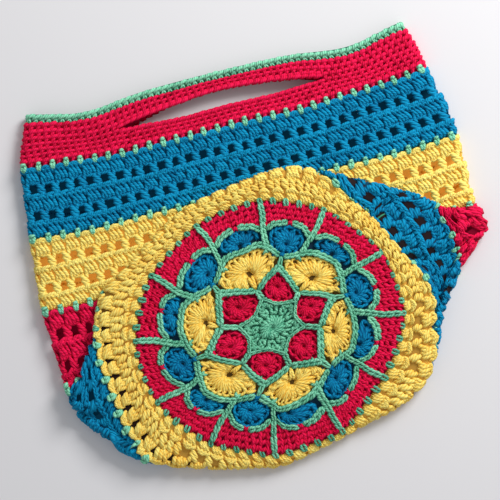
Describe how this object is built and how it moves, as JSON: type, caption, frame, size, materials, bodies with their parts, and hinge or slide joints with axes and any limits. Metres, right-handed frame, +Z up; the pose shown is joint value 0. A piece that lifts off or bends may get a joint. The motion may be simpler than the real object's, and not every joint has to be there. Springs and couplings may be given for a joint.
{
  "type": "tote bag",
  "caption": "Round-bottomed crocheted tote bag in colour bands, lying on its back wall with its round base folded up over the front, hand slots below the mouth",
  "frame": {"origin": "centre of the bounding box in plan, at the height of the surface that the bag lies on", "axes": "+X along the bag's width, +Y towards the mouth, +Z up, out of the surface that the back wall rests on"},
  "size_m": [0.4087, 0.3659, 0.0231],
  "materials": {
    "red_cotton": "matte crocheted cotton yarn, crimson red",
    "yellow_cotton": "matte crocheted cotton yarn, warm yellow",
    "blue_cotton": "matte crocheted cotton yarn, petrol blue",
    "mint_cotton": "matte crocheted cotton yarn, mint green"
  },
  "bodies": {
    "root": {"centre_star": "mint_cotton", "petal_round": "red_cotton", "shell_round": "yellow_cotton", "scallop_round": "blue_cotton", "outer_round": "red_cotton", "petal_chain": "mint_cotton", "scallop_chain": "mint_cotton", "mint_round_1": "mint_cotton", "yellow_lower_band": "yellow_cotton", "mint_round_2": "mint_cotton", "blue_lower_band": "blue_cotton", "mint_round_3": "mint_cotton", "red_middle_band": "red_cotton", "mint_round_4": "mint_cotton", "yellow_upper_band": "yellow_cotton", "mint_round_5": "mint_cotton", "blue_upper_band": "blue_cotton", "mint_round_6": "mint_cotton", "red_top_band": "red_cotton", "mint_edging": "mint_cotton"}
  },
  "joints": []
}
